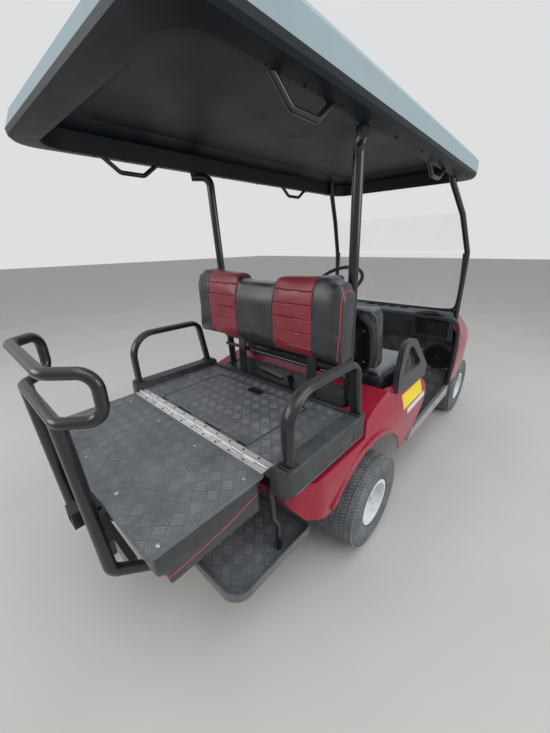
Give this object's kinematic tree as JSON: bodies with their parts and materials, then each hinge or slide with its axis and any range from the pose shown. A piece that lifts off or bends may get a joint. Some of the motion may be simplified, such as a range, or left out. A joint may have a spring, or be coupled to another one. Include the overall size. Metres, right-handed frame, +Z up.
{
  "type": "golf cart",
  "caption": "Long-roof golf cart with a bench seat, a rear seat folded out into a cargo deck, a footrest and a grab bar.",
  "frame": {"origin": "on the floor, under the middle of the whole cart", "axes": "+X to the cart's right, +Y ahead, +Z up"},
  "size_m": [1.1946, 3.082, 1.842],
  "materials": {
    "body_red": "deep gloss red over moulded plastic",
    "steel_black": "black powder coat, worn",
    "plastic_black": "textured black moulding",
    "plastic_grey": "dusty grey tread mat",
    "roof_white": "pale grey moulded shell",
    "vinyl_charcoal": "charcoal vinyl",
    "tyre": "dusty rubber",
    "rim_white": "white steel rims",
    "aluminium": "plain extruded",
    "steel_bare": "dusty bare steel",
    "glass_clear": "clear acrylic",
    "lamp_clear": "clear lens"
  },
  "bodies": {
    "chassis": {"arm_hoop_left": "plastic_black", "arm_hoop_right": "plastic_black", "chassis_frame": "steel_black", "dash": "plastic_black", "deck_border": "plastic_black", "engine_block": "steel_bare", "floor_pan": "plastic_black", "footrest_tray": "plastic_black", "front_axle": "steel_black", "front_bumper": "plastic_black", "front_cowl": "body_red", "front_seat_back": "vinyl_charcoal", "front_seat_cushion": "vinyl_charcoal", "front_struts": "steel_black", "grab_bar": "steel_black", "headlamps": "lamp_clear", "hinge_fixed_leaf": "aluminium", "hip_restraint_left": "plastic_black", "hip_restraint_right": "plastic_black", "hitch_receiver": "steel_black", "kit_frame": "steel_black", "leaf_springs": "steel_bare", "pedals": "steel_black", "rear_axle": "steel_bare", "rear_body": "body_red", "rear_deck": "plastic_grey", "rear_posts": "steel_black", "rear_seat_back": "vinyl_charcoal", "roof": "roof_white", "roof_handles": "plastic_black", "seat_brackets": "steel_black", "sill_trims": "aluminium", "steering_column": "steel_black", "windshield": "glass_clear"},
    "wheel_rear_left": {"tyre_rear_left": "tyre", "wheel_rear_left": "rim_white"},
    "wheel_rear_right": {"tyre_rear_right": "tyre", "wheel_rear_right": "rim_white"},
    "wheel_front_left": {"tyre_front_left": "tyre", "wheel_front_left": "rim_white"},
    "wheel_front_right": {"tyre_front_right": "tyre", "wheel_front_right": "rim_white"},
    "knuckle_left": {"knuckle_left": "steel_bare"},
    "knuckle_right": {"knuckle_right": "steel_bare"},
    "tie_rod": {"tie_rod": "steel_bare"},
    "steering_wheel": {"steering_wheel": "plastic_black"},
    "flip_panel": {"cargo_panel": "plastic_grey", "rear_seat_cushion": "vinyl_charcoal", "hinge_moving_leaf": "aluminium"},
    "deck_lid": {"deck_lid": "plastic_grey"}
  },
  "joints": [
    {"name": "rear_left_roll", "type": "hinge", "parent": "chassis", "child": "wheel_rear_left", "pos_m": [-0.489, -0.499, 0.2285], "axis": [-1, 0, 0], "continuous": true},
    {"name": "rear_right_roll", "type": "hinge", "parent": "chassis", "child": "wheel_rear_right", "pos_m": [0.489, -0.499, 0.2285], "axis": [-1, 0, 0], "continuous": true},
    {"name": "steer_right", "type": "hinge", "parent": "chassis", "child": "knuckle_right", "pos_m": [0.3, 1.165, 0.2285], "axis": [0, 0, 1], "range_deg": [-28, 28]},
    {"name": "steer_left", "type": "hinge", "parent": "chassis", "child": "knuckle_left", "pos_m": [-0.3, 1.165, 0.2285], "axis": [0, 0, 1], "range_deg": [-28, 28]},
    {"name": "front_left_roll", "type": "hinge", "parent": "knuckle_left", "child": "wheel_front_left", "pos_m": [-0.438, 1.165, 0.2285], "axis": [-1, 0, 0], "continuous": true},
    {"name": "front_right_roll", "type": "hinge", "parent": "knuckle_right", "child": "wheel_front_right", "pos_m": [0.438, 1.165, 0.2285], "axis": [-1, 0, 0], "continuous": true},
    {"name": "tie_rod_swing", "type": "hinge", "parent": "knuckle_right", "child": "tie_rod", "pos_m": [0.3, 1.035, 0.21], "axis": [0, 0, 1], "range_deg": [-28, 28]},
    {"name": "steering_wheel_turn", "type": "hinge", "parent": "chassis", "child": "steering_wheel", "pos_m": [-0.26, 0.467, 1.109], "axis": [0, -0.5299, 0.848], "range_deg": [-448, 448]},
    {"name": "panel_fold", "type": "hinge", "parent": "chassis", "child": "flip_panel", "pos_m": [0, -1.067, 0.7022], "axis": [-1, 0, 0], "range_deg": [0, 180]},
    {"name": "hatch_lift", "type": "hinge", "parent": "chassis", "child": "deck_lid", "pos_m": [0, -1.03, 0.698], "axis": [-1, 0, 0], "range_deg": [-95, 0]}
  ],
  "couplings": [
    {"joint": "steer_left", "follows": "steer_right", "ratio": 1},
    {"joint": "tie_rod_swing", "follows": "steer_right", "ratio": -1},
    {"joint": "steering_wheel_turn", "follows": "steer_right", "ratio": 16}
  ]
}
